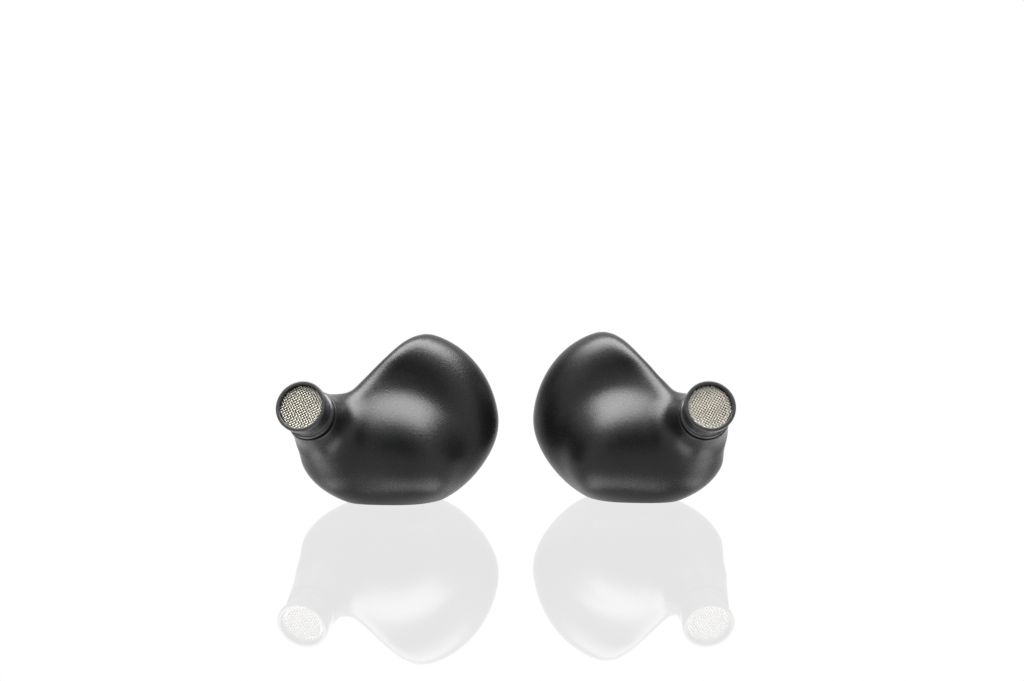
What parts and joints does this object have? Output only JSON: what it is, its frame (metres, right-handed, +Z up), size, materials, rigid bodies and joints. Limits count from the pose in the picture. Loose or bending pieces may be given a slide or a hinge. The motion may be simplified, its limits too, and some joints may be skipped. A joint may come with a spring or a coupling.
{
  "type": "in ear monitors",
  "caption": "Black metal in-ear monitors: contoured hollow shells with turned nozzles, wire-cloth grilles, domed back plates, cable sockets and drivers inside.",
  "frame": {"origin": "on the table, below the middle of the box round the standing pair", "axes": "+Z up; +Y away from the side the nozzles face, towards the back plates; +X from the right-ear piece to the left-ear piece"},
  "size_m": [0.0528, 0.0219, 0.0197],
  "materials": {
    "black_anodised": "bead blasted and anodised black, satin",
    "black_turned": "turned and anodised black",
    "steel_cloth": "plain-woven stainless wire cloth",
    "black_rubber": "moulded, matt",
    "brass": "turned, bright",
    "gold_plate": "gold plated, polished",
    "nickel_steel": "nickel plated, drawn",
    "magnet_nickel": "nickel-plated magnet",
    "copper_coil": "lacquered copper wire",
    "diaphragm_film": "thin pressed polymer film",
    "resin": "printed resin, matt",
    "clear_tube": "clear soft tube",
    "damper_cloth": "green acoustic damper",
    "board_green": "solder-masked laminate",
    "tantalum": "moulded case",
    "insulator": "white insulator"
  },
  "bodies": {
    "right_earpiece": {"right_board_capacitor": "tantalum", "right_crossover_board": "board_green", "right_driver_cap": "nickel_steel", "right_driver_frame": "brass", "right_driver_holder": "resin", "right_driver_magnet": "magnet_nickel", "right_driver_pole_plate": "nickel_steel", "right_driver_yoke": "nickel_steel", "right_faceplate": "black_anodised", "right_faceplate_seal": "black_rubber", "right_grille_ring": "nickel_steel", "right_high_armature": "nickel_steel", "right_high_sound_tube": "clear_tube", "right_mid_armature": "nickel_steel", "right_mid_sound_tube": "clear_tube", "right_nozzle": "black_turned", "right_nozzle_grille": "steel_cloth", "right_nozzle_seal": "black_rubber", "right_shell": "black_anodised", "right_socket_body": "brass", "right_socket_contact": "gold_plate", "right_socket_insulator": "insulator", "right_sound_damper": "damper_cloth", "right_vent_screen": "steel_cloth"},
    "right_diaphragm": {"right_driver_diaphragm": "diaphragm_film", "right_driver_voice_coil": "copper_coil"},
    "left_earpiece": {"left_board_capacitor": "tantalum", "left_crossover_board": "board_green", "left_driver_cap": "nickel_steel", "left_driver_frame": "brass", "left_driver_holder": "resin", "left_driver_magnet": "magnet_nickel", "left_driver_pole_plate": "nickel_steel", "left_driver_yoke": "nickel_steel", "left_faceplate": "black_anodised", "left_faceplate_seal": "black_rubber", "left_grille_ring": "nickel_steel", "left_high_armature": "nickel_steel", "left_high_sound_tube": "clear_tube", "left_mid_armature": "nickel_steel", "left_mid_sound_tube": "clear_tube", "left_nozzle": "black_turned", "left_nozzle_grille": "steel_cloth", "left_nozzle_seal": "black_rubber", "left_shell": "black_anodised", "left_socket_body": "brass", "left_socket_contact": "gold_plate", "left_socket_insulator": "insulator", "left_sound_damper": "damper_cloth", "left_vent_screen": "steel_cloth"},
    "left_diaphragm": {"left_driver_diaphragm": "diaphragm_film", "left_driver_voice_coil": "copper_coil"}
  },
  "joints": [
    {"name": "pair_spacing", "type": "slide", "parent": "right_earpiece", "child": "left_earpiece", "axis": [1, 0, 0], "range_m": [0, 0.05]},
    {"name": "right_diaphragm_stroke", "type": "slide", "parent": "right_earpiece", "child": "right_diaphragm", "axis": [0.2079, -0.9781, 0], "range_m": [-0.00025, 0.00025], "stiffness_N_per_m": 20},
    {"name": "left_diaphragm_stroke", "type": "slide", "parent": "left_earpiece", "child": "left_diaphragm", "axis": [-0.3665, -0.9304, 0], "range_m": [-0.00025, 0.00025], "stiffness_N_per_m": 20}
  ]
}
